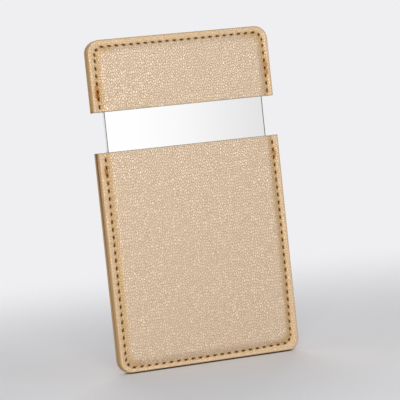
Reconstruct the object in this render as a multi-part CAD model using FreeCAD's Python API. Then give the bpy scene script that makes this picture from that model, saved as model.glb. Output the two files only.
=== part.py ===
"""Slide-out pocket mirror in a sewn leatherette case.

A mirror plate is bonded into a short sewn cap. The plate slides in a longer sewn sleeve of the
same width, so cap and sleeve close up to one slim rectangle with round corners.

Millimetres. The mirror stands on the sleeve's bottom edge: +Z runs up along the slide, X across
the width, and the front faces -Y. The origin is the middle of the bottom edge.
"""

import FreeCAD
import Part
import os

# Outer form
WIDTH = 65.0               # across sleeve and cap
SLEEVE_HEIGHT = 75.4       # bottom edge to mouth
CAP_HEIGHT = 24.4          # lower edge to top
CORNER_RADIUS = 4.5        # corners of the closed end of sleeve and cap
EDGE_ROUND = 0.7           # turned-down outer edge of each skin

# Layers through the thickness, from the mirror outwards
GLASS_THICKNESS = 1.8
FILM_THICKNESS = 0.2       # protective film on the back of the glass
POCKET_CLEARANCE = 0.2     # between plate and lining, on each face
LINING_THICKNESS = 0.4
TAPE_THICKNESS = 0.15      # bonds the plate into the cap, in place of lining and clearance
BOARD_THICKNESS = 0.8
BOARD_EDGE = 0.2           # what the bevel leaves of the board's edge
SKIN_THICKNESS = 1.2

# Seam along the two sides and the closed end
WELT_WIDTH = 3.5           # filler strip that spaces the two skins apart
POCKET_CORNER_RADIUS = 1.0
BOARD_BEVEL = 1.5          # width of the board's bevelled rim
BOARD_FIT = 0.05           # round the edges of boards and linings
PAD_CORNER_RADIUS = 3.0    # corners of the raised panel
SEAM_GROOVE = 0.2          # V between the painted edges of the front and back halves

# Lockstitches, one row round each half, in a channel that they pull into the skin
STITCH_INSET = 2.4         # seam line from the outer edge
SEAM_CORNER_RADIUS = 3.0   # where the seam line turns
STITCH_PITCH = 2.7
STITCH_END = 2.6           # first needle hole from the open edge
NEEDLE_HOLE = 1.2          # open needle slot between stitches
THREAD_WIDTH = 0.6
THREAD_RISE = 0.3          # height of a stitch's bow
THREAD_ROOM = 0.4          # channel floor beside the thread, which stitches at the corners need
CHANNEL_DEPTH = 0.25
CHANNEL_SLOPE = 0.2        # width of each sloping side of the channel
CHANNEL_TO_PAD = 0.1       # flat margin left between channel and raised panel

# Mirror plate
PLATE_SIDE_CLEARANCE = 0.25
PLATE_END_CLEARANCE = 1.0  # above the pocket's floor when closed
PLATE_CORNER_RADIUS = 1.5
GLASS_ARRIS = 0.2          # ground edge of the glass
FILM_INSET = 0.3
TAPE_INSET = 1.5

# Slide, as stored: partly open
OPEN_GAP = 13.7            # mirror showing between sleeve and cap
CLOSED_GAP = 0.2           # left between them when closed

OVERRUN = 1.0              # how far cutting shapes pass what they cut

# Where along the panel's slope its sections lie
SLOPE_SHARES = (0, 0.35, 0.65, 1)
# A stitch's bow from hole to hole: share of its length, share of its rise
BOW_SHARES = ((0, 0), (0.25, 1), (0.75, 1), (1, 0))

# Worked out from the sizes above
PLATE_HALF = (GLASS_THICKNESS + FILM_THICKNESS) / 2
PLATE_WIDTH = WIDTH - 2 * (WELT_WIDTH + PLATE_SIDE_CLEARANCE)
PLATE_BOTTOM = WELT_WIDTH + PLATE_END_CLEARANCE + OPEN_GAP - CLOSED_GAP
CAP_BOTTOM = SLEEVE_HEIGHT + OPEN_GAP
CAP_TOP = CAP_BOTTOM + CAP_HEIGHT
PLATE_TOP = CAP_TOP - WELT_WIDTH - PLATE_SIDE_CLEARANCE
PAD_RISE = BOARD_THICKNESS - BOARD_EDGE
CHANNEL_FLOOR = THREAD_WIDTH / 2 + THREAD_ROOM
CHANNEL_LIP = CHANNEL_FLOOR + CHANNEL_SLOPE
PAD_START = STITCH_INSET + CHANNEL_LIP + CHANNEL_TO_PAD
PAD_END = WELT_WIDTH + BOARD_BEVEL

UP = FreeCAD.Vector(0, 0, 1)
BACKWARDS = FreeCAD.Vector(0, 1, 0)
MIDDLE = FreeCAD.Vector(0, 0, 0)
HALF_TURN = 180


def u_path(height, inset, radius, depth):
    """Edges down the left side, round the closed end and up the right side, in front of the middle."""
    def point(x, z):
        return FreeCAD.Vector(x, -depth, z)

    side = WIDTH / 2 - inset
    turn = radius * (1 - 0.5 ** 0.5)
    left_top, right_top = point(-side, height), point(side, height)
    left_low, right_low = point(-side, inset + radius), point(side, inset + radius)
    left_end, right_end = point(radius - side, inset), point(side - radius, inset)
    return [
        Part.LineSegment(left_top, left_low).toShape(),
        Part.Arc(left_low, point(turn - side, inset + turn), left_end).toShape(),
        Part.LineSegment(left_end, right_end).toShape(),
        Part.Arc(right_end, point(side - turn, inset + turn), right_low).toShape(),
        Part.LineSegment(right_low, right_top).toShape(),
    ]


def section(height, inset, radius, depth):
    """Closed outline of a panel that passes the open edge, to be trimmed there."""
    edges = u_path(height + OVERRUN, inset, radius, depth)
    start = edges[0].Vertexes[0].Point
    end = edges[-1].Vertexes[-1].Point
    return Part.Wire(edges + [Part.LineSegment(end, start).toShape()])


def plate(outline, thickness):
    """Flat layer from an outline, thickened towards the front."""
    return Part.Face(outline).extrude(BACKWARDS * -thickness)


def trim(shape, height):
    """Cut straight across at the open edge."""
    reach = WIDTH + OVERRUN
    corner = FreeCAD.Vector(-reach / 2, -reach / 2, height)
    return shape.cut(Part.makeBox(reach, reach, reach, corner))


def seam_channel(height, margin):
    """Shallow groove in the margin, narrower at its floor, which the stitches lie in."""
    def inside_wall(side):
        """All that lies inside the outer wall, for a side of -1, or the inner wall, for 1."""
        floor = side * CHANNEL_FLOOR
        lip = side * CHANNEL_LIP
        return Part.makeLoft([
            section(height, STITCH_INSET + floor, SEAM_CORNER_RADIUS - floor, margin - CHANNEL_DEPTH),
            section(height, STITCH_INSET + lip, SEAM_CORNER_RADIUS - lip, margin),
            section(height, STITCH_INSET + lip, SEAM_CORNER_RADIUS - lip, margin + OVERRUN),
        ], True, True)

    return inside_wall(-1).cut(inside_wall(1))


def skin(height, core):
    """Leatherette: a sewn margin with its channel, swelling over the board to a panel, hollow behind."""
    inside = core + BOARD_EDGE
    margin = inside + SKIN_THICKNESS
    body = plate(section(height, 0, CORNER_RADIUS, inside), SKIN_THICKNESS)
    rim = [edge for edge in body.Edges
           if abs(edge.BoundBox.YMin + margin) < EDGE_ROUND / 2
           and edge.BoundBox.YLength < EDGE_ROUND / 2
           and edge.BoundBox.ZMin < height]
    body = body.makeFillet(EDGE_ROUND, rim)

    slope = PAD_END - PAD_START
    rings = [section(height, PAD_START + slope * share, PAD_CORNER_RADIUS,
                     margin + PAD_RISE * share ** 2 * (3 - 2 * share))
             for share in SLOPE_SHARES]
    raised = Part.makeLoft(rings, True, False)

    hollow = Part.makeLoft([
        section(height, WELT_WIDTH, POCKET_CORNER_RADIUS, inside - OVERRUN),
        section(height, WELT_WIDTH, POCKET_CORNER_RADIUS, inside),
        section(height, PAD_END, POCKET_CORNER_RADIUS, inside + PAD_RISE),
    ], True, True)
    whole = body.fuse(raised).cut(hollow).cut(seam_channel(height, margin))
    return trim(whole.removeSplitter(), height)


def board(height, core):
    """Stiff board with a bevelled rim, which raises the panel of the skin."""
    rim = WELT_WIDTH + BOARD_FIT
    crown = PAD_END + BOARD_FIT
    return trim(Part.makeLoft([
        section(height, rim, POCKET_CORNER_RADIUS, core),
        section(height, rim, POCKET_CORNER_RADIUS, core + BOARD_EDGE),
        section(height, crown, POCKET_CORNER_RADIUS, core + BOARD_THICKNESS),
    ], True, True), height)


def welt(height, core):
    """Filler strip under the seam: half of the U that closes the pocket's sides and end."""
    depth = core + BOARD_EDGE
    outer = plate(section(height, 0, CORNER_RADIUS, 0), depth)
    seam = [edge for edge in outer.Edges
            if edge.BoundBox.YMin > -SEAM_GROOVE and edge.BoundBox.ZMin < height]
    outer = outer.makeChamfer(SEAM_GROOVE, seam)
    inner = plate(section(height + OVERRUN, WELT_WIDTH, POCKET_CORNER_RADIUS, -OVERRUN),
                  depth + 2 * OVERRUN)
    return trim(outer.cut(inner), height)


def lining(height, core):
    """Thin suede sheet on the board, which the plate slides against."""
    outline = section(height, WELT_WIDTH + BOARD_FIT, POCKET_CORNER_RADIUS, core - LINING_THICKNESS)
    return trim(plate(outline, LINING_THICKNESS), height)


def stitch(start, end):
    """One stitch: a bowed bridge of thread between two needle holes, flat on the channel's floor."""
    span = (end - start).Length - NEEDLE_HOLE
    along = (end - start).normalize()
    across = along.cross(BACKWARDS)
    near = start + along * (NEEDLE_HOLE / 2) - across * (THREAD_WIDTH / 2)
    bow = [near + along * (span * length_share) - BACKWARDS * (THREAD_RISE * rise_share)
           for length_share, rise_share in BOW_SHARES]
    return Part.Face(Part.makePolygon(bow + bow[:1])).extrude(across * THREAD_WIDTH)


def stitches(height, core):
    """The seam's row of stitches, evenly spaced from open edge to open edge."""
    depth = core + BOARD_EDGE + SKIN_THICKNESS - CHANNEL_DEPTH
    seam = Part.Wire(u_path(height - STITCH_END, STITCH_INSET, SEAM_CORNER_RADIUS, depth))
    holes = seam.discretize(Number=round(seam.Length / STITCH_PITCH) + 1)
    return Part.makeCompound([stitch(a, b) for a, b in zip(holes, holes[1:])])


def rounded_plate(inset, bottom, top, depth, thickness, radius):
    """Flat rectangle with round corners, set in from the plate's sides."""
    side = PLATE_WIDTH / 2 - inset
    corner = FreeCAD.Vector(-side, -depth, bottom)
    block = Part.makeBox(2 * side, thickness, top - bottom, corner)
    uprights = [edge for edge in block.Edges if edge.BoundBox.YLength > thickness / 2]
    return block.makeFillet(radius, uprights)


def mirror_glass():
    """Silvered glass with its edges ground all round."""
    glass = rounded_plate(0, PLATE_BOTTOM, PLATE_TOP, PLATE_HALF, GLASS_THICKNESS, PLATE_CORNER_RADIUS)
    arris = [edge for edge in glass.Edges if edge.BoundBox.YLength < GLASS_ARRIS / 2]
    return glass.makeChamfer(GLASS_ARRIS, arris)


def mirror_film():
    """Protective film on the silvered back."""
    return rounded_plate(FILM_INSET, PLATE_BOTTOM + FILM_INSET, PLATE_TOP - FILM_INSET,
                         FILM_THICKNESS - PLATE_HALF, FILM_THICKNESS, PLATE_CORNER_RADIUS)


def cap_tape(depth):
    """Double-sided tape between the plate and a board of the cap, cut square from a roll."""
    side = PLATE_WIDTH / 2 - TAPE_INSET
    bottom = CAP_BOTTOM + TAPE_INSET
    corner = FreeCAD.Vector(-side, -depth, bottom)
    return Part.makeBox(2 * side, TAPE_THICKNESS, PLATE_TOP - TAPE_INSET - bottom, corner)


def to_back(shape):
    """Front half turned to be the back half."""
    return shape.rotated(MIDDLE, UP, HALF_TURN)


def to_cap(shape):
    """Half of a sleeve, turned over so that its closed end is the top of the cap."""
    return shape.rotated(MIDDLE, BACKWARDS, HALF_TURN).translated(UP * CAP_TOP)


SLEEVE_CORE = PLATE_HALF + POCKET_CLEARANCE + LINING_THICKNESS
CAP_CORE = PLATE_HALF + TAPE_THICKNESS

nodes = {
    "mirror_glass": mirror_glass(),
    "mirror_backing_film": mirror_film(),
    "cap_front_tape": cap_tape(PLATE_HALF + TAPE_THICKNESS),
    "cap_back_tape": cap_tape(-PLATE_HALF),
}
for layer in (skin, board, welt, stitches):
    sleeve_front = layer(SLEEVE_HEIGHT, SLEEVE_CORE)
    cap_front = to_cap(layer(CAP_HEIGHT, CAP_CORE))
    nodes[f"sleeve_front_{layer.__name__}"] = sleeve_front
    nodes[f"sleeve_back_{layer.__name__}"] = to_back(sleeve_front)
    nodes[f"cap_front_{layer.__name__}"] = cap_front
    nodes[f"cap_back_{layer.__name__}"] = to_back(cap_front)
nodes["sleeve_front_lining"] = lining(SLEEVE_HEIGHT, SLEEVE_CORE)
nodes["sleeve_back_lining"] = to_back(nodes["sleeve_front_lining"])

os.makedirs("parts", exist_ok=True)
for name, shape in nodes.items():
    shape.exportStep(f"parts/{name}.step")
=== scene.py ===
"""Looks of the slide-out pocket mirror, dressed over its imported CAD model.

The CAD frame is kept: +Z runs up along the slide, the front faces -Y, and the sleeve stands on the floor.
Shapes are worked out in millimetres and stored in metres.
"""

import math

import bpy
import numpy as np
from mathutils import Matrix, Vector


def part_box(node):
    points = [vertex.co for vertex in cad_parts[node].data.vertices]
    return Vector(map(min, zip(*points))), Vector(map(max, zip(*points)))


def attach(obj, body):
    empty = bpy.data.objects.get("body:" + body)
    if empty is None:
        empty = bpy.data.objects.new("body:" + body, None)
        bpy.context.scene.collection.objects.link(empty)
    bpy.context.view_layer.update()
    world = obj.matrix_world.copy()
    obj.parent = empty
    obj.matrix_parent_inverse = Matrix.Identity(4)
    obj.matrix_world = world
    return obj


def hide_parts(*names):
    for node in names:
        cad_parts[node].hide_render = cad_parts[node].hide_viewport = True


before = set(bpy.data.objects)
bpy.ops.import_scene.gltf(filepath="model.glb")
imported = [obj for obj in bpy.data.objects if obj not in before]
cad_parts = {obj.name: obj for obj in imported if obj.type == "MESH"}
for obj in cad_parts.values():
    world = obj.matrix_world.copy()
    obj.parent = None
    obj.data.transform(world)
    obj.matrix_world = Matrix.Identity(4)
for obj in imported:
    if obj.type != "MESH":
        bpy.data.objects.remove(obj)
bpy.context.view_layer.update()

# Mirror plate: thin float glass, silvered on its back, with all its edges ground to a small flat.
# The silver stops short of the sides, so a fine dark line runs down each side of the reflection.
# A grey vinyl film, stuck on whole, protects the silver and holds the pieces if the glass breaks.

MM = 0.001
# How far the silver stays from the sides, and the width over which it thins out.
SILVER_MARGIN = 0.45
SILVER_BLUR = 0.05
# Deeper than this behind its face the glass shows its ground edge.
FACE_SKIM = 0.03
FACE_ROUGHNESS = 0.02
EDGE_ROUGHNESS = 0.4
# The grinding grit's real marks are under a tenth of a millimetre, and are drawn coarser so that they show.
GROUND_GRIT = 0.3
FILM_PEEL = 1.4
FILM_PEEL_HEIGHT = 0.05
FILM_CLOUD = 14


def linear(code):
    """sRGB hex colour as linear RGBA: each channel goes through the sRGB curve backwards."""
    srgb = np.array([int(code[i:i + 2], 16) for i in (1, 3, 5)]) / 255
    rgb = np.where(srgb <= 0.04045, srgb / 12.92, ((srgb + 0.055) / 1.055) ** 2.4)
    return (*rgb.tolist(), 1.0)


def node(tree, kind, inputs=None, **settings):
    """Add one shader node. Inputs are values or the outputs that feed them, and settings its own choices."""
    made = tree.nodes.new(kind)
    for name, value in settings.items():
        setattr(made, name, value)
    for name, value in (inputs or {}).items():
        if isinstance(value, bpy.types.NodeSocket):
            tree.links.new(value, made.inputs[name])
        else:
            made.inputs[name].default_value = value
    return made


def new_material(name):
    """An empty material and its node tree."""
    made = bpy.data.materials.new(name)
    made.use_nodes = True
    made.node_tree.nodes.clear()
    return made, made.node_tree


def silvered_glass():
    """Float glass with a silver back: a clear reflection, a fine dark line where the silver stops at each
    side, and pale frosted edges where the glass is ground."""
    made, tree = new_material("silvered_float_glass")
    low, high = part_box("mirror_glass")
    place = node(tree, "ShaderNodeTexCoord").outputs["Object"]
    part = node(tree, "ShaderNodeSeparateXYZ", {"Vector": place}).outputs
    sideways = node(tree, "ShaderNodeMath", {0: part["X"]}, operation="ABSOLUTE").outputs["Value"]
    silver_end = high.x - SILVER_MARGIN * MM
    rim = node(tree, "ShaderNodeMapRange", {
        "Value": sideways, "From Min": silver_end, "From Max": silver_end + SILVER_BLUR * MM,
    }).outputs["Result"]
    edge = node(tree, "ShaderNodeMapRange", {
        "Value": part["Y"], "From Min": low.y, "From Max": low.y + FACE_SKIM * MM,
    }).outputs["Result"]
    grit = node(tree, "ShaderNodeTexNoise", {
        "Vector": place, "Scale": 1 / (GROUND_GRIT * MM), "Detail": 2.0}).outputs["Fac"]
    frost = node(tree, "ShaderNodeMix", {
        "Factor": grit, "A": linear("#eef2f0"), "B": linear("#fbfdfc")}, data_type="RGBA").outputs[2]
    face = node(tree, "ShaderNodeMix", {
        "Factor": rim, "A": linear("#fefefe"), "B": linear("#4d5350")}, data_type="RGBA").outputs[2]
    surface = node(tree, "ShaderNodeBsdfPrincipled", {
        "Base Color": node(tree, "ShaderNodeMix", {
            "Factor": edge, "A": face, "B": frost}, data_type="RGBA").outputs[2],
        "Metallic": 1.0,
        "Roughness": node(tree, "ShaderNodeMapRange", {
            "Value": edge, "To Min": FACE_ROUGHNESS, "To Max": EDGE_ROUGHNESS}).outputs["Result"],
    }).outputs["BSDF"]
    node(tree, "ShaderNodeOutputMaterial", {"Surface": surface})
    return made


def vinyl_film():
    """Calendered grey vinyl: an even satin grey with a faint orange-peel from the adhesive beneath."""
    made, tree = new_material("grey_vinyl_film")
    place = node(tree, "ShaderNodeTexCoord").outputs["Object"]
    peel = node(tree, "ShaderNodeTexNoise", {
        "Vector": place, "Scale": 1 / (FILM_PEEL * MM), "Detail": 3.0}).outputs["Fac"]
    cloud = node(tree, "ShaderNodeTexNoise", {
        "Vector": place, "Scale": 1 / (FILM_CLOUD * MM), "Detail": 2.0}).outputs["Fac"]
    surface = node(tree, "ShaderNodeBsdfPrincipled", {
        "Base Color": node(tree, "ShaderNodeMix", {
            "Factor": cloud, "A": linear("#8d9094"), "B": linear("#a2a5a8")}, data_type="RGBA").outputs[2],
        "Roughness": 0.42,
        "Normal": node(tree, "ShaderNodeBump", {
            "Height": peel, "Strength": 0.25, "Distance": FILM_PEEL_HEIGHT * MM}).outputs["Normal"],
    }).outputs["BSDF"]
    node(tree, "ShaderNodeOutputMaterial", {"Surface": surface})
    return made


def dress(material, *names):
    """Give CAD nodes whose shape is right their finish."""
    for name in names:
        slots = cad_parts[name].data.materials
        slots.clear()
        slots.append(material)


dress(silvered_glass(), "mirror_glass")
dress(vinyl_film(), "mirror_backing_film")

# Cap tape: two pieces of clear acrylic tape, cut square from a roll, that bond the plate to the cap's boards.
# They are pressed on by hand, and show only as a thin milky line at the cap's open edge.

TAPE_BUBBLE = 1.2


def acrylic_tape():
    """Clear acrylic adhesive: milky and soft, with small trapped bubbles."""
    made, tree = new_material("acrylic_tape")
    place = node(tree, "ShaderNodeTexCoord").outputs["Object"]
    bubbles = node(tree, "ShaderNodeTexVoronoi", {
        "Vector": place, "Scale": 1 / (TAPE_BUBBLE * MM)}).outputs["Distance"]
    surface = node(tree, "ShaderNodeBsdfPrincipled", {
        "Base Color": node(tree, "ShaderNodeMix", {
            "Factor": bubbles, "A": linear("#d8d4ca"), "B": linear("#e6e3dc")}, data_type="RGBA").outputs[2],
        "Roughness": 0.35,
    }).outputs["BSDF"]
    node(tree, "ShaderNodeOutputMaterial", {"Surface": surface})
    return made


dress(acrylic_tape(), "cap_front_tape", "cap_back_tape")

# Boards: millboard blanks with bevelled rims, one behind each skin, which keep the halves flat.
# They are glued in, and only their cut edges show, in the sleeve's mouth and under the cap.

BOARD_FIBRE = 0.5
FIBRE_HEIGHT = 0.08
# Fibres lie flat and mostly across the board, so their pattern is long sideways and thin through it.
FIBRE_LIE = (0.35, 3.0, 1.0)


def millboard():
    """Pressed waste paper: warm grey, matt, with short fibres and darker flecks."""
    made, tree = new_material("millboard")
    place = node(tree, "ShaderNodeTexCoord").outputs["Object"]
    lie = node(tree, "ShaderNodeMapping", {"Vector": place, "Scale": FIBRE_LIE}).outputs["Vector"]
    fibre = node(tree, "ShaderNodeTexNoise", {
        "Vector": lie, "Scale": 1 / (BOARD_FIBRE * MM), "Detail": 4.0}).outputs["Fac"]
    surface = node(tree, "ShaderNodeBsdfPrincipled", {
        "Base Color": node(tree, "ShaderNodeMix", {
            "Factor": fibre, "A": linear("#7d7367"), "B": linear("#a89d8e")}, data_type="RGBA").outputs[2],
        "Roughness": 0.9,
        "Normal": node(tree, "ShaderNodeBump", {
            "Height": fibre, "Strength": 0.5, "Distance": FIBRE_HEIGHT * MM}).outputs["Normal"],
    }).outputs["BSDF"]
    node(tree, "ShaderNodeOutputMaterial", {"Surface": surface})
    return made


dress(millboard(), "sleeve_front_board", "sleeve_back_board", "cap_front_board", "cap_back_board")

# Linings: thin microfibre suede, glued flat over the sleeve's two boards.
# The plate slides against their nap without a scratch, and they show inside the sleeve's mouth.

# The nap's real fibres are a few hundredths of a millimetre thick, and are drawn coarser so that they show.
SUEDE_NAP = 0.25
NAP_HEIGHT = 0.1
SUEDE_PATCH = 6


def microfibre_suede():
    """Brushed microfibre: dull brown with a short nap that lies in soft patches and lightens at a glance."""
    made, tree = new_material("microfibre_suede")
    place = node(tree, "ShaderNodeTexCoord").outputs["Object"]
    nap = node(tree, "ShaderNodeTexNoise", {
        "Vector": place, "Scale": 1 / (SUEDE_NAP * MM), "Detail": 3.0}).outputs["Fac"]
    patch = node(tree, "ShaderNodeTexNoise", {
        "Vector": place, "Scale": 1 / (SUEDE_PATCH * MM), "Detail": 2.0}).outputs["Fac"]
    surface = node(tree, "ShaderNodeBsdfPrincipled", {
        "Base Color": node(tree, "ShaderNodeMix", {
            "Factor": patch, "A": linear("#6b5340"), "B": linear("#86694f")}, data_type="RGBA").outputs[2],
        "Roughness": 0.95,
        "Sheen Weight": 0.4,
        "Sheen Roughness": 0.5,
        "Normal": node(tree, "ShaderNodeBump", {
            "Height": nap, "Strength": 0.6, "Distance": NAP_HEIGHT * MM}).outputs["Normal"],
    }).outputs["BSDF"]
    node(tree, "ShaderNodeOutputMaterial", {"Surface": surface})
    return made


dress(microfibre_suede(), "sleeve_front_lining", "sleeve_back_lining")

# Welts: leatherboard strips sewn between the two skins, one for each half, round the sides and closed end.
# Their outer edges are sanded and painted with the skins, and leave a fine groove where the halves meet.
# On the sleeve the halves spread a little towards the mouth, so the groove widens there, and its painted
# shade darkens.

CORNER_RADIUS = 4.5
POCKET_CORNER_RADIUS = 1.0
MOUTH_ROUND = 0.35
WELT_WIDTH = 3.5
# Half the groove's width, which is also its depth, low down and at the sleeve's mouth.
GROOVE = 0.2
GROOVE_AT_MOUTH = 0.55
# Above this share of the sleeve's height the halves spread.
SPREAD_FROM = 0.33
# Spacing of mesh lines along the strip and round a corner, and their number over lip, wall and groove.
WELT_STEP = 1.5
CORNER_STEP = 0.5
LIP_RINGS = 5
WALL_RINGS = 6
GROOVE_RINGS = 4
# Edges at which a mesh turns by more than this stay sharp.
SHARP_ANGLE = math.radians(50)
# How far the painted shade in the groove reaches out of it, and how strong it is on the cap, on the sleeve
# and at its mouth.
GROOVE_SHADE_REACH = 0.5
GROOVE_SHADE_REACH_AT_MOUTH = 0.95
CAP_GROOVE_SHADE = 0.3
SLEEVE_GROOVE_SHADE = 0.55
MOUTH_GROOVE_SHADE = 0.95
# Height up to which a contact shadow is painted on the sleeve's foot.
FOOT_SHADE_HEIGHT = 0.7
# The strips' cut ends at the open edge are bare and darker, over this length and by this much.
BARE_END = 0.9
BARE_DARK = 0.65
PAINT_BRUSHING = 2.5
PAINT_HEIGHT = 0.1

half_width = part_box("sleeve_front_skin")[1].x / MM
cap_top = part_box("cap_front_skin")[1].z / MM
# Each half is shaped as the front of the sleeve and turned into place by half turns, so by signs.
# A row gives its body, the signs of x, y and z, and what is then added to z.
TURNS = {
    "sleeve_front": ("sleeve", (1, 1, 1), 0),
    "sleeve_back": ("sleeve", (-1, -1, 1), 0),
    "cap_front": ("mirror_slider", (-1, 1, -1), cap_top),
    "cap_back": ("mirror_slider", (1, -1, -1), cap_top),
}


def u_rings(height, inset, radius, step):
    """Nested U-shaped lines, a row for each inset and corner radius: down one side from the open edge, round
    a quarter circle and along the closed end to half a step from its middle, then the same mirrored.
    Returns x and z."""
    inset, radius = np.asarray(inset)[:, None], np.asarray(radius)[:, None]
    side, low = half_width - inset, inset + radius
    flank = side - radius
    lip = MOUTH_ROUND * (1 - np.cos(np.linspace(0, np.pi / 2, LIP_RINGS)))
    run = np.linspace(MOUTH_ROUND, height - CORNER_RADIUS, round(height / step))
    down = np.concatenate((lip[:-1], run)) / run[-1]
    turn = np.linspace(0, np.pi / 2, round(CORNER_RADIUS / min(step, CORNER_STEP)) + 1)[1:]
    count = round(half_width / step)
    along = np.arange(1, count + 1) / (count + 0.5)
    x = np.hstack((-side + 0 * down, -flank - radius * np.cos(turn), -flank * (1 - along)))
    z = np.hstack((height - (height - low) * down, low - radius * np.sin(turn), inset + 0 * along))
    return np.hstack((x, -x[:, ::-1])), np.hstack((z, z[:, ::-1]))


def grid_faces(rows, columns):
    """Corner numbers of the four-sided faces between neighbouring rows and columns of points."""
    first = (np.arange(rows - 1)[:, None] * columns + np.arange(columns - 1)).ravel()
    return np.stack((first, first + columns, first + columns + 1, first + 1), axis=1)


def add_piece(name, half, points, faces, material, node_name, marks):
    """Turn points of the sleeve's front, in millimetres, into a half, and set the mesh in its node's place.
    Marks are numbers for each point, which the material reads."""
    body, signs, lift = TURNS[half]
    mesh = bpy.data.meshes.new(name)
    mesh.from_pydata(((points * signs + (0, 0, lift)) * MM).tolist(), [], faces)
    mesh.polygons.foreach_set("use_smooth", np.ones(len(faces), bool))
    mesh.set_sharp_from_angle(angle=SHARP_ANGLE)
    for mark, values in marks.items():
        values = values.ravel().astype(np.float32)
        mesh.attributes.new(mark, "FLOAT", "POINT").data.foreach_set("value", values)
    mesh.materials.append(material)
    mesh.update()
    made = bpy.data.objects.new(name, mesh)
    bpy.context.scene.collection.objects.link(made)
    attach(made, body)
    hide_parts(node_name)


def smooth(share):
    """Ease from 0 to 1 with a level start and end: three squares less two cubes of the share."""
    share = np.clip(share, 0, 1)
    return share ** 2 * (3 - 2 * share)


def edge_paint():
    """Brushed-on acrylic edge paint: satin tan in a thin uneven coat. Its dark brown is painted shade in the
    groove and at the foot, and the bare ends' own colour.
    """
    made, tree = new_material("edge_paint")
    place = node(tree, "ShaderNodeTexCoord").outputs["Object"]
    painted_shade_and_bare_end = node(tree, "ShaderNodeAttribute", attribute_name="painted_shade_and_bare_end").outputs["Fac"]
    coat = node(tree, "ShaderNodeTexNoise", {
        "Vector": place, "Scale": 1 / (PAINT_BRUSHING * MM), "Detail": 4.0}).outputs["Fac"]
    tan = node(tree, "ShaderNodeMix", {
        "Factor": coat, "A": linear("#c09866"), "B": linear("#d6af7c")}, data_type="RGBA").outputs[2]
    # The dark brown is painted shade in the groove and at the foot, and the bare ends' own colour.
    surface = node(tree, "ShaderNodeBsdfPrincipled", {
        "Base Color": node(tree, "ShaderNodeMix", {
            "Factor": painted_shade_and_bare_end, "A": tan, "B": linear("#552c08")}, data_type="RGBA").outputs[2],
        "Roughness": 0.6,
        "Specular IOR Level": 0.1,
        "Normal": node(tree, "ShaderNodeBump", {
            "Height": coat, "Strength": 0.3, "Distance": PAINT_HEIGHT * MM}).outputs["Normal"],
    }).outputs["BSDF"]
    node(tree, "ShaderNodeOutputMaterial", {"Surface": surface})
    return made


def foot_contact_shade(half, z):
    """Painted contact shadow on the edge that the sleeve stands on: full up to half of its height, then
    eased to nothing.
    """
    return smooth(2 - 2 * z / FOOT_SHADE_HEIGHT) * half.startswith("sleeve")


def welt_strip(height, depth, half):
    """Closed profile carried along the U: the outer wall runs level from the skin to the groove's lip and
    curves in by the square of the way to the middle, and the strip's middle, inner and skin sides close it.
    The groove widens towards the sleeve's mouth. Painted shade falls off from the groove's middle as a bell
    curve, and the bare ends' darkening from the open edge by an eased step."""
    on_sleeve = half.startswith("sleeve")
    # The second line lies a millimetre inside the first, and gives the way inwards.
    x, z = u_rings(
        height, (0, 1, WELT_WIDTH), (CORNER_RADIUS, CORNER_RADIUS - 1, POCKET_CORNER_RADIUS), WELT_STEP)
    spread = smooth((z[0] / height - SPREAD_FROM) / (1 - SPREAD_FROM)) * on_sleeve
    groove = GROOVE + (GROOVE_AT_MOUTH - GROOVE) * spread
    wall = groove + (depth - groove) * np.linspace(1, 0, WALL_RINGS)[:, None]
    curve = np.arange(1, GROOVE_RINGS + 1)[:, None] / GROOVE_RINGS
    inward = np.vstack((0 * wall, groove * curve ** 2))
    y = np.vstack((wall, groove * (1 - curve), 0 * x[:1], 0 * x[:1] + depth))
    x = np.vstack((x[0] + inward * (x[1] - x[0]), x[2], x[2]))
    z = np.vstack((z[0] + inward * (z[1] - z[0]), z[2], z[2]))
    reach = GROOVE_SHADE_REACH + (GROOVE_SHADE_REACH_AT_MOUTH - GROOVE_SHADE_REACH) * spread
    groove_shade = SLEEVE_GROOVE_SHADE + (MOUTH_GROOVE_SHADE - SLEEVE_GROOVE_SHADE) * spread if on_sleeve else CAP_GROOVE_SHADE
    # Shade in the groove between the halves is painted in as a bell curve.
    painted_shade_and_bare_end = np.exp(-(y / reach) ** 2) * groove_shade
    bare = BARE_DARK * smooth(1 - (height - z) / BARE_END)
    return np.stack((x, -y, z), axis=2), np.maximum.reduce((painted_shade_and_bare_end, bare, foot_contact_shade(half, z)))


paint = edge_paint()
for half in TURNS:
    low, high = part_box(f"{half}_welt")
    points, painted_shade_and_bare_end = welt_strip((high.z - low.z) / MM, (high.y - low.y) / MM, half)
    rows, columns = points.shape[:2]
    ring = np.arange(rows) * columns
    faces = grid_faces(rows, columns).tolist()
    outer = np.arange(columns - 1)
    closing = np.stack((ring[-1] + outer, outer, outer + 1, ring[-1] + outer + 1), axis=1)
    faces += closing.tolist() + [ring[::-1].tolist(), (ring + columns - 1).tolist()]
    add_piece(f"{half}_painted_edge", half, points.reshape(-1, 3), faces, paint, f"{half}_welt",
              {"painted_shade_and_bare_end": painted_shade_and_bare_end})

# Skins: champagne pearl leatherette, a foamed vinyl face on cloth, moulded over the bevelled board and sewn.
# The seam pulls a channel with a needle slot at each stitch's end, and the margin outside stands as a bead.
# Beside the seam the pearl is pressed to a deeper gold, and painted shade deepens it on the slopes.
# The cut side is painted with the welt.

SKIN_THICKNESS = 1.2
EDGE_ROUND = 0.7
# The panel's corner, how softly the corners change from the edge's to it, and the insets of its slope.
PAD_CORNER_RADIUS = 3.0
CORNER_BLEND = 0.5
PAD_START = 2.5
PAD_END = 5.0
# Spacing of mesh lines along the edge, over the slope, and across the seam between two insets.
SKIN_STEP = 0.22
SLOPE_STEP = 0.2
SEAM_STEP = 0.12
SEAM_OUTER = 1.4
SEAM_INNER = 3.4
# Number of mesh lines over the rounded edge.
EDGE_RINGS = 6
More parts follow.
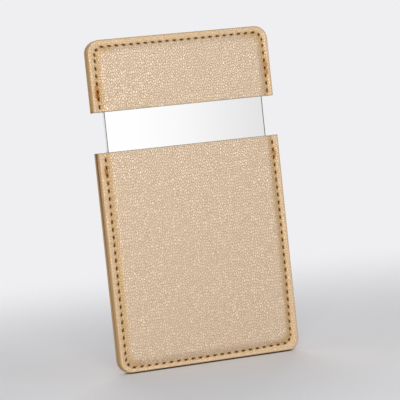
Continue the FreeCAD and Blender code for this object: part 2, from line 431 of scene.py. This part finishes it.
# Number of mesh lines on the flat of the panel, the inset of the first, and how far the last stays from the
# sleeve's middle line or the cap's open edge.
FIELD_RINGS = 7
FIELD_START = PAD_END + 3 * SLOPE_STEP
FIELD_OFF = 4.0
# The row of stitches: its inset, how far its ends stay from the open edge, and a stitch's length.
SEAM_INSET = 2.4
SEAM_END = {"sleeve": 2.5, "cap": 1.8}
STITCH_PITCH = 2.62
# Stitches are shortened to turn a corner, so that this much of a stitch more goes into it, over this length.
CORNER_STITCHES = 0.6
CORNER_SPAN = 6.0
# The channel's depth, its reach outwards and inwards, and how much it deepens where the needle goes in.
SEAM_CHANNEL = 0.3
CHANNEL_OUT = 1.1
CHANNEL_IN = 0.75
PUCKER = 0.05
# A needle slot's share of a stitch, its width and depth, and the skin that is left under it.
SLOT_SHARE = 0.52
SLOT_WIDTH = 0.6
SLOT_DEPTH = 0.45
LEAST_SKIN = 0.05
# Where along the seam the stitching strays, over how far, and by how much outwards.
STRAYS = {
    "sleeve_front": ((70, 40, 0.35), (132, 14, -0.5), (178, 30, 0.25)),
    "sleeve_back": ((120, 20, 0.2),),
    "cap_front": ((6, 16, 0.4), (28, 14, 0.15), (94, 14, 0.12)),
    "cap_back": ((70, 14, 0.2),),
}
# Stitches that are sewn twice, counted from the row's start or back from its end, and how singed each is.
TACKS = {
    "sleeve_front": {1: 0.7, -2: 0.45},
    "sleeve_back": {1: 0.5, -2: 0.5},
    "cap_front": {2: 0.4, 3: 0.4, -2: 0.95, -3: 0.5},
    "cap_back": {2: 0.6, 3: 0.6, -2: 0.5, -3: 0.5},
}
# Reach of the singeing along the row, in stitches, and across it, and how far outside the row it lies.
SINGE_LENGTH = 0.8
SINGE_WIDTH = 0.7
SINGE_OUT = 0.3
# The deeper gold, pressed pearl with painted shade of the slopes: its distance inside the row and its reach.
# It is full this far in from the sides, fades over as much again, and is left with this share in the middle
# of the closed end.
PRESS_AND_SHADE_OFFSET = 0.8
PRESS_AND_SHADE_REACH = 1.1
PRESS_AND_SHADE_FADE = 6
END_PRESS_AND_SHADE = {"sleeve": 0.2, "cap": 0.0}
# Widths over which the margin's gold starts at the row, paint ends on the face, and the open edge turns
# greyer, its cut backing with painted shade.
MARGIN_REACH = 0.9
CUT_REACH = 0.42
LIP_REACH = 0.4
# What covers the pearl, lowest first: the mark that says where, the most that it covers, and its colour.
COVERS = (
    ("margin", 0.45, "#d8b688"),
    # The deeper gold is pearl pressed beside the seam, and painted shade of the slopes.
    ("press_and_slope_shade", 0.62, "#bd985f"),
    ("singe", 1, "#b07014"),
    ("cut", 1, "#c8a678"),
    # The open edge's grey is its cut backing, and painted shade of the lip.
    ("lip", 1, "#b5a691"),
    ("painted_shade_and_bare_end", 1, "#241508"),
    # Painted shade inside the needle slots.
    ("slot", 1, "#4a2400"),
)
# The grain's pebbles: width, height as seen over width, stray of their outlines, the part of a pebble that
# falls to the crease, how far it stands up, and the painted sheen of the dullest and the brightest.
PEBBLE = 0.65
PEBBLE_TALL = 1.5
PEBBLE_STRAY = 0.5
PEBBLE_FALL = 0.22
PEBBLE_HEIGHT = 0.1
DULLEST = 0.5
BRIGHTEST = 1.1
CREASE_ROUGHNESS = 0.62
TOP_ROUGHNESS = 0.5
# Clouds in the pearl: their size, the noise at which they start and are full, and the most that they cover.
PEARL_CLOUD = 6
CLOUD_START = 0.3
CLOUD_FULL = 0.7
CLOUD_SHARE = 0.4
# How far the lacquer's flakes make it reflect as metal does.
PEARL_METAL = 0.35


def corner(inset):
    """Corner radius of a U at an inset: shrinks with the inset and levels off at the panel's own radius, by
    the logarithm of one plus an exponential."""
    excess = CORNER_RADIUS - PAD_CORNER_RADIUS - np.asarray(inset, float)
    return PAD_CORNER_RADIUS + CORNER_BLEND * np.log1p(np.exp(excess / CORNER_BLEND))


def sewn_row(height, half):
    """The sewn line: its points, the distance along it, its inset, which strays as bell curves, and the
    number of stitches up to each point, which grows evenly and gains a part of a stitch by an eased step at
    each corner."""
    x, z = u_rings(height, [SEAM_INSET], corner([SEAM_INSET]), SKIN_STEP)
    travel = np.concatenate(([0], np.cumsum(np.hypot(np.diff(x[0]), np.diff(z[0])))))
    strays = [out * np.exp(-((travel - where) / width) ** 2) for where, width, out in STRAYS[half]]
    inset = SEAM_INSET - sum(strays)
    end = SEAM_END[half.split("_")[0]]
    run = travel[-1] - 2 * end
    count = round(run / STITCH_PITCH + 2 * CORNER_STITCHES)
    bend = height - CORNER_RADIUS
    corners = (smooth((travel - bend) / CORNER_SPAN + 0.5)
               + smooth((travel - travel[-1] + bend) / CORNER_SPAN + 0.5))
    stitch = (travel - end) / run * (count - 2 * CORNER_STITCHES) + CORNER_STITCHES * corners
    return {"x": x[0], "z": z[0], "travel": travel, "inset": inset, "stitch": stitch, "count": count}


def needle_slots(row, across):
    """How deep in a needle slot a point lies: flat-topped bells, which fall off with the fourth power of the
    distance, along and across the row at each end of a stitch."""
    off = row["stitch"] - np.clip(np.round(row["stitch"]), 0, row["count"])
    return np.exp(-(2 * off / SLOT_SHARE) ** 4 - (2 * across / SLOT_WIDTH) ** 4)


def singed_patches(half, row, across):
    """Singeing round the stitches that are sewn twice: bell curves along and across the row."""
    number, singed = np.array(list(TACKS[half].items())).T
    away = row["stitch"][:, None] - number % row["count"] - 0.5
    along = np.exp(-(away / SINGE_LENGTH) ** 2) @ singed
    return along * np.exp(-((across + SINGE_OUT) / SINGE_WIDTH) ** 2)


def rounded(distance, radius):
    """Drop of a quarter-round edge at a distance inside it: the radius less the circle's height there."""
    return radius - np.sqrt(radius ** 2 - np.clip(radius - distance, 0, radius) ** 2)


def skin_sheet(height, inside, crown, half):
    """Profile carried along the U, from the panel's middle out over slope, seam, bead and edge, and back
    inside. The face's depth is the margin plus the panel's eased rise less what seam, edge and open edge take
    off. The seam takes off a channel, a bell curve wider on the margin's side and shallower between
    stitches, and the needle slots."""
    rise = crown - inside - SKIN_THICKNESS
    reach = min(half_width, height) - FIELD_OFF
    face = np.concatenate((
        np.geomspace(reach, FIELD_START, FIELD_RINGS),
        np.arange(PAD_END, SEAM_INNER, -SLOPE_STEP),
        np.arange(SEAM_INNER, SEAM_OUTER, -SEAM_STEP),
        np.arange(SEAM_OUTER, EDGE_ROUND, -SLOPE_STEP),
        EDGE_ROUND * (1 - np.sin(np.linspace(0, np.pi / 2, EDGE_RINGS)))))
    under = np.array([0, WELT_WIDTH, PAD_END - SLOPE_STEP, reach])
    inset = np.concatenate((face, under))
    x, z = u_rings(height, inset, corner(inset), SKIN_STEP)
    row = sewn_row(height, half)
    across = face[:, None] - row["inset"]
    slot = needle_slots(row, across)
    pull = SEAM_CHANNEL + PUCKER * np.cos(2 * np.pi * row["stitch"])
    channel = np.exp(-(across / np.where(across < 0, CHANNEL_OUT, CHANNEL_IN)) ** 2)
    drop = pull * channel + SLOT_DEPTH * slot
    lift = rise * smooth((face[:, None] - PAD_START) / (PAD_END - PAD_START))
    from_mouth = height - z[:len(face)]
    edges = rounded(face[:, None], EDGE_ROUND) + rounded(from_mouth, MOUTH_ROUND)
    depth = np.maximum(crown - rise + lift - drop - edges, inside + LEAST_SKIN)
    back = inside + np.array([0, 0, rise, rise])[:, None] + 0 * x[:len(under)]
    from_side = half_width - np.abs(x[:len(face)])
    sides = np.clip(2 - from_side / PRESS_AND_SHADE_FADE, END_PRESS_AND_SHADE[half.split("_")[0]], 1)
    marks = {
        "slot": slot,
        "press_and_slope_shade": np.exp(-((across - PRESS_AND_SHADE_OFFSET) / PRESS_AND_SHADE_REACH) ** 2) * sides,
        "margin": smooth(0.5 - across / MARGIN_REACH),
        "singe": singed_patches(half, row, across),
        "cut": smooth(1 - face[:, None] / CUT_REACH) + 0 * across,
        "lip": smooth(1 - from_mouth / LIP_REACH),
        # A contact shadow painted along the sleeve's foot.
        "painted_shade_and_bare_end": foot_contact_shade(half, z[:len(face)]),
    }
    bare = np.zeros_like(back)
    return np.stack((x, -np.vstack((depth, back)), z), axis=2), {
        name: np.vstack((values, bare + (name == "cut"))) for name, values in marks.items()}


def pearl_leatherette():
    """Embossed vinyl under a pearl lacquer: pebbles under a millimetre, with a painted sheen on their tops
    and painted shade in their browner creases. Margin and slope beside the seam are a deeper gold, partly
    painted shade on the slopes. The slots are painted dark brown as shade, the foot's contact shadow and the
    open edge's shade are painted too, and the thread that was singed off leaves amber patches."""
    made, tree = new_material("pearl_leatherette")
    place = node(tree, "ShaderNodeTexCoord").outputs["Object"]
    mark = {name: node(tree, "ShaderNodeAttribute", attribute_name=name).outputs["Fac"]
            for name, most, code in COVERS}
    front = node(tree, "ShaderNodeMapping", {
        "Vector": place, "Rotation": (-math.pi / 2, 0, 0), "Scale": (1, 1, 1 / PEBBLE_TALL),
    }).outputs["Vector"]
    stray = node(tree, "ShaderNodeTexNoise", {
        "Vector": front, "Scale": 1 / (PEBBLE * MM), "Detail": 2.0}).outputs["Color"]
    warped = node(tree, "ShaderNodeVectorMath", {
        0: stray, 1: (PEBBLE_STRAY * MM,) * 3, 2: front}, operation="MULTIPLY_ADD").outputs["Vector"]
    crease = node(tree, "ShaderNodeTexVoronoi", {
        "Vector": warped, "Scale": 1 / (PEBBLE * MM),
    }, feature="DISTANCE_TO_EDGE", voronoi_dimensions="2D").outputs["Distance"]
    pebble = node(tree, "ShaderNodeMapRange", {
        "Value": crease, "From Max": PEBBLE_FALL}, interpolation_type="SMOOTHSTEP").outputs["Result"]
    cell = node(tree, "ShaderNodeTexVoronoi", {
        "Vector": warped, "Scale": 1 / (PEBBLE * MM)}, voronoi_dimensions="2D").outputs["Color"]
    glint = node(tree, "ShaderNodeMapRange", {
        "Value": cell, "To Min": DULLEST, "To Max": BRIGHTEST}).outputs["Result"]
    top = node(tree, "ShaderNodeMath", {0: pebble, 1: glint}, operation="MULTIPLY").outputs["Value"]
    tone = node(tree, "ShaderNodeTexNoise", {
        "Vector": place, "Scale": 1 / (PEARL_CLOUD * MM), "Detail": 3.0}).outputs["Fac"]
    cloud = node(tree, "ShaderNodeMapRange", {
        "Value": tone, "From Min": CLOUD_START, "From Max": CLOUD_FULL, "To Max": CLOUD_SHARE,
    }).outputs["Result"]
    # Pebble tops are painted lighter as sheen, and creases browner as shade.
    pearl = node(tree, "ShaderNodeMix", {
        "Factor": top, "A": linear("#b0987d"), "B": linear("#e7d2b9")}, data_type="RGBA").outputs[2]
    colour = node(tree, "ShaderNodeMix", {
        "Factor": cloud, "A": pearl, "B": linear("#c9b299")}, data_type="RGBA").outputs[2]
    for name, most, code in COVERS:
        share = node(tree, "ShaderNodeMath", {0: mark[name], 1: most}, operation="MULTIPLY").outputs["Value"]
        colour = node(tree, "ShaderNodeMix", {
            "Factor": share, "A": colour, "B": linear(code)}, data_type="RGBA").outputs[2]
    surface = node(tree, "ShaderNodeBsdfPrincipled", {
        "Base Color": colour,
        "Metallic": node(tree, "ShaderNodeMapRange", {
            "Value": mark["slot"], "To Min": PEARL_METAL, "To Max": 0.0}).outputs["Result"],
        "Roughness": node(tree, "ShaderNodeMapRange", {
            "Value": top, "To Min": CREASE_ROUGHNESS, "To Max": TOP_ROUGHNESS}).outputs["Result"],
        "Specular IOR Level": 0.0,
        "Normal": node(tree, "ShaderNodeBump", {
            "Height": top, "Strength": 1.0, "Distance": PEBBLE_HEIGHT * MM}).outputs["Normal"],
    }).outputs["BSDF"]
    node(tree, "ShaderNodeOutputMaterial", {"Surface": surface})
    return made


leatherette = pearl_leatherette()
for half in TURNS:
    low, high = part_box(f"{half}_skin")
    inside, crown = sorted((abs(low.y) / MM, abs(high.y) / MM))
    points, marks = skin_sheet((high.z - low.z) / MM, inside, crown, half)
    rows, columns = points.shape[:2]
    ring = np.arange(rows) * columns
    left = np.arange(columns // 2 - 1)
    bridge = np.stack((left, left + 1, columns - 2 - left, columns - 1 - left), axis=1)
    faces = grid_faces(rows, columns).tolist() + bridge.tolist() + (bridge[:, ::-1] + ring[-1]).tolist()
    faces.append(np.concatenate((ring + columns - 1, ring[::-1])).tolist())
    add_piece(f"{half}_leatherette", half, points.reshape(-1, 3), faces, leatherette, f"{half}_skin",
              marks)

# Stitches: a lockstitch in bonded polyester thread, round three sides of each half.
# Each stitch dives into a slot at both ends and bows up between them. Near the open edges a stitch or two
# is sewn twice, side by side, and singed, which turns it amber.

# The thread's width, its thickness as a share of that, and how far its ends taper, where 1 is to a point.
THREAD_WIDTH = 0.55
THREAD_FLAT = 0.8
THREAD_TAPER = 0.95
# How deep a stitch's ends lie under the channel's floor, and how far its middle bows up from them.
THREAD_SINK = 0.12
THREAD_BOW = 0.2
THREAD_STEPS = 7
THREAD_SIDES = 8
# Where the two threads of a stitch that is sewn twice lie, inwards of the row, and how much higher.
TACK_PLACES = (-0.55, -0.05)
TACK_LIFT = 0.12
# Share of a stitch over which its thread is out of the slots, where sewn once and where sewn twice.
THREAD_SHOWN = 0.5
TACK_SHOWN = 0.65
# Spacing of the bands that the thread's twist draws, and how far they are turned.
TWIST = 0.35
TWIST_LIE = math.radians(40)


def thread_rows(height, inside, half):
    """Bowed tubes, one for each stitch: circles carried from slot to slot, flattened, with a half-sine lift
    and ends that taper into the slots, by the root of one less a fourth power. Returns points by stitch,
    step and side, and marks of singeing."""
    row = sewn_row(height, half)
    singed = np.zeros(row["count"])
    singed[list(TACKS[half])] = list(TACKS[half].values())
    tacked = np.flatnonzero(singed)
    number = np.concatenate((np.arange(row["count"]), tacked))
    outer, inner = TACK_PLACES
    place = np.concatenate((np.where(singed > 0, outer, 0), np.full(len(tacked), inner)))
    singed = singed[number]
    shown = np.where(singed > 0, TACK_SHOWN, THREAD_SHOWN)[:, None]
    share = np.linspace(-0.5, 0.5, THREAD_STEPS)[None, :]
    travel = np.interp(number[:, None] + 0.5 + share * shown, row["stitch"], row["travel"])
    along = {name: np.interp(travel, row["travel"], values) for name, values in {
        "x": row["x"], "z": row["z"], "inset": row["inset"],
        "in_x": -np.gradient(row["z"], row["travel"]), "in_z": np.gradient(row["x"], row["travel"])}.items()}
    push = along["inset"] - SEAM_INSET + place[:, None]
    bed = inside + SKIN_THICKNESS - SEAM_CHANNEL - THREAD_SINK + TACK_LIFT * (singed > 0)[:, None]
    lift = bed + THREAD_BOW * np.cos(np.pi * share)
    radius = THREAD_WIDTH / 2 * np.sqrt(1 - (2 * THREAD_TAPER * share) ** 4)
    angle = np.linspace(0, 2 * np.pi, THREAD_SIDES, endpoint=False)
    out = push[:, :, None] + radius[:, :, None] * np.cos(angle)
    points = np.stack((
        along["x"][:, :, None] + along["in_x"][:, :, None] * out,
        -(lift[:, :, None] + THREAD_FLAT * radius[:, :, None] * np.sin(angle)),
        along["z"][:, :, None] + along["in_z"][:, :, None] * out), axis=3)
    return points, singed[:, None, None] + np.zeros(points.shape[:3])


def polyester_thread():
    """Bonded filament thread: golden tan with a soft sheen and the fine diagonal of its twist, and amber
    where it is singed."""
    made, tree = new_material("polyester_thread")
    place = node(tree, "ShaderNodeTexCoord").outputs["Object"]
    singed = node(tree, "ShaderNodeAttribute", attribute_name="singed").outputs["Fac"]
    lie = node(tree, "ShaderNodeMapping", {
        "Vector": place, "Rotation": (0, TWIST_LIE, 0)}).outputs["Vector"]
    twist = node(tree, "ShaderNodeTexWave", {
        "Vector": lie, "Scale": 1 / (math.pi * TWIST * MM), "Distortion": 1.0}).outputs["Fac"]
    plain = node(tree, "ShaderNodeMix", {
        "Factor": twist, "A": linear("#b58d56"), "B": linear("#d4b07a")}, data_type="RGBA").outputs[2]
    surface = node(tree, "ShaderNodeBsdfPrincipled", {
        "Base Color": node(tree, "ShaderNodeMix", {
            "Factor": singed, "A": plain, "B": linear("#8e5008")}, data_type="RGBA").outputs[2],
        "Roughness": 0.5,
        "Specular IOR Level": 0.25,
    }).outputs["BSDF"]
    node(tree, "ShaderNodeOutputMaterial", {"Surface": surface})
    return made


thread = polyester_thread()
for half in TURNS:
    low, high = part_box(f"{half}_skin")
    points, singed = thread_rows((high.z - low.z) / MM, min(abs(low.y), abs(high.y)) / MM, half)
    stitches, steps, sides = points.shape[:3]
    first = np.arange(steps - 1)[:, None] * sides + np.arange(sides)
    following = np.roll(first, -1, axis=1)
    tube = np.stack((first, following, following + sides, first + sides), axis=2).reshape(-1, 4)
    start = (np.arange(stitches) * steps * sides)[:, None]
    faces = (tube[None] + start[:, :, None]).reshape(-1, 4).tolist()
    end = start + (steps - 1) * sides
    faces += (start + np.arange(sides)[::-1]).tolist() + (end + np.arange(sides)).tolist()
    add_piece(f"{half}_thread", half, points.reshape(-1, 3), faces, thread, f"{half}_stitches",
              {"singed": singed})

# Floor: a plain pale sheet of paper that takes the object's shadow.
# To the eye and in the mirror it fades into the backdrop at some distance.

# In metres: the sheet's radius, and how far from the middle it starts to fade and is gone.
FLOOR_RADIUS = 3.0
FLOOR_CLEAR = 0.08
FLOOR_GONE = 0.55
FLOOR_SIDES = 64

floor_angle = np.linspace(0, 2 * np.pi, FLOOR_SIDES, endpoint=False)
floor_mesh = bpy.data.meshes.new("floor")
floor_round = np.stack((np.cos(floor_angle), np.sin(floor_angle), 0 * floor_angle), axis=1)
floor_mesh.from_pydata((FLOOR_RADIUS * floor_round).tolist(), [], [list(range(FLOOR_SIDES))])
pale_paper, tree = new_material("pale_paper")
path = node(tree, "ShaderNodeLightPath").outputs
looked_at = node(tree, "ShaderNodeMath", {
    0: path["Is Camera Ray"], 1: path["Is Glossy Ray"]}, operation="MAXIMUM").outputs["Value"]
from_middle = node(tree, "ShaderNodeVectorMath", {
    0: node(tree, "ShaderNodeTexCoord").outputs["Object"]}, operation="LENGTH").outputs["Value"]
gone = node(tree, "ShaderNodeMapRange", {
    "Value": from_middle, "From Min": FLOOR_CLEAR, "From Max": FLOOR_GONE, "To Max": looked_at,
}, interpolation_type="SMOOTHSTEP").outputs["Result"]
paper = node(tree, "ShaderNodeBsdfDiffuse", {"Color": linear("#eaeaed")}).outputs["BSDF"]
clear = node(tree, "ShaderNodeBsdfTransparent").outputs["BSDF"]
node(tree, "ShaderNodeOutputMaterial", {"Surface": node(tree, "ShaderNodeMixShader", {
    "Fac": gone, 1: paper, 2: clear}).outputs["Shader"]})
floor_mesh.materials.append(pale_paper)
floor = bpy.data.objects.new("floor", floor_mesh)
bpy.context.scene.collection.objects.link(floor)

# Studio: a pale room. Its wall is near white ahead of the glass and falls off to grey at the sides,
# which gives the mirror its white with a grey right end, and the panels' slopes their darker gold.

# Brightness of the wall by its direction from the object, in degrees from the front towards the right.
WALL = (
    (-90, 0.6), (-35, 1.0), (17.5, 1.0), (21, 0.75), (60, 0.5), (100, 0.6), (180, 0.9), (250, 0.85),
    (270, 0.6))
# Strength of the even light that the room gives.
AMBIENT = 0.4

world = bpy.data.worlds.new("studio")
world.use_nodes = True
bpy.context.scene.world = world
tree = world.node_tree
tree.nodes.clear()
heading = node(tree, "ShaderNodeSeparateXYZ", {
    "Vector": node(tree, "ShaderNodeTexCoord").outputs["Generated"]}).outputs
turn = node(tree, "ShaderNodeMath", {0: heading["Y"], 1: heading["X"]}, operation="ARCTAN2").outputs["Value"]
wall = node(tree, "ShaderNodeValToRGB", {"Fac": node(tree, "ShaderNodeMapRange", {
    "Value": turn, "From Min": -math.pi, "From Max": math.pi}).outputs["Result"]})
ramp = wall.color_ramp
while len(ramp.elements) < len(WALL):
    ramp.elements.new(1)
wall_start, wall_end = WALL[0][0], WALL[-1][0]
for stop, (azimuth, level) in zip(ramp.elements, WALL):
    stop.position = (azimuth - wall_start) / (wall_end - wall_start)
    stop.color = (level, level, level, 1)
path = node(tree, "ShaderNodeLightPath").outputs
mirrored = node(tree, "ShaderNodeMath", {
    0: path["Is Glossy Ray"], 1: path["Is Transmission Ray"]}, operation="MAXIMUM").outputs["Value"]
ambient = node(tree, "ShaderNodeBackground", {
    "Color": linear("#ffffff"), "Strength": AMBIENT}).outputs["Background"]
reflected = node(tree, "ShaderNodeBackground", {"Color": wall.outputs["Color"]}).outputs["Background"]
backdrop = node(tree, "ShaderNodeBackground", {"Color": linear("#efeff1")}).outputs["Background"]
lit = node(tree, "ShaderNodeMixShader", {"Fac": mirrored, 1: ambient, 2: reflected}).outputs["Shader"]
node(tree, "ShaderNodeOutputWorld", {"Surface": node(tree, "ShaderNodeMixShader", {
    "Fac": path["Is Camera Ray"], 1: lit, 2: backdrop}).outputs["Shader"]})

# Lamps: a soft box near the object, above and a little left of its front, a larger one further off on the
# right, and one behind, a little above it, which lights the back and throws a soft shadow forwards.

# Each lamp's place and width in metres, and its watts.
LAMPS = {
    "key": ((-0.16, -0.58, 0.16), 0.22, 2.3),
    "fill": ((1.0, -1.1, 0.4), 0.8, 2.5),
    "back": ((0.3, 1.0, 0.34), 0.6, 7.0),
}
AIM = Vector((0, 0, 0.05))
for name, (place, size, watts) in LAMPS.items():
    lamp = bpy.data.lights.new(name, "AREA")
    lamp.shape = "SQUARE"
    lamp.size = size
    lamp.energy = watts
    made = bpy.data.objects.new(name, lamp)
    made.location = place
    made.rotation_euler = (AIM - Vector(place)).to_track_quat("-Z", "Y").to_euler()
    made.visible_camera = False
    bpy.context.scene.collection.objects.link(made)

# Camera: a long lens, a little left of the front and about level with the sleeve's mouth.
# It is turned about its own axis, which makes the object lean as in the photograph.

# Sensor and focal length in millimetres.
SENSOR = 36
LENS = 176.5
LOOK_AT = Vector((1.6, -3.0, 55.9)) * MM
DISTANCE = 671.5 * MM
AZIMUTH = math.radians(-18.56)
ELEVATION = math.radians(2.22)
ROLL = math.radians(-5.98)

camera = bpy.data.cameras.new("camera")
camera.lens = LENS
camera.sensor_width = SENSOR
viewer = bpy.data.objects.new("camera", camera)
aim = (Matrix.Rotation(AZIMUTH, 4, "Z") @ Matrix.Rotation(math.pi / 2 - ELEVATION, 4, "X")
       @ Matrix.Rotation(ROLL, 4, "Z"))
viewer.matrix_world = Matrix.Translation(LOOK_AT + aim.to_3x3() @ Vector((0, 0, DISTANCE))) @ aim
bpy.context.scene.collection.objects.link(viewer)
bpy.context.scene.camera = viewer
bpy.context.scene.view_settings.view_transform = "Standard"
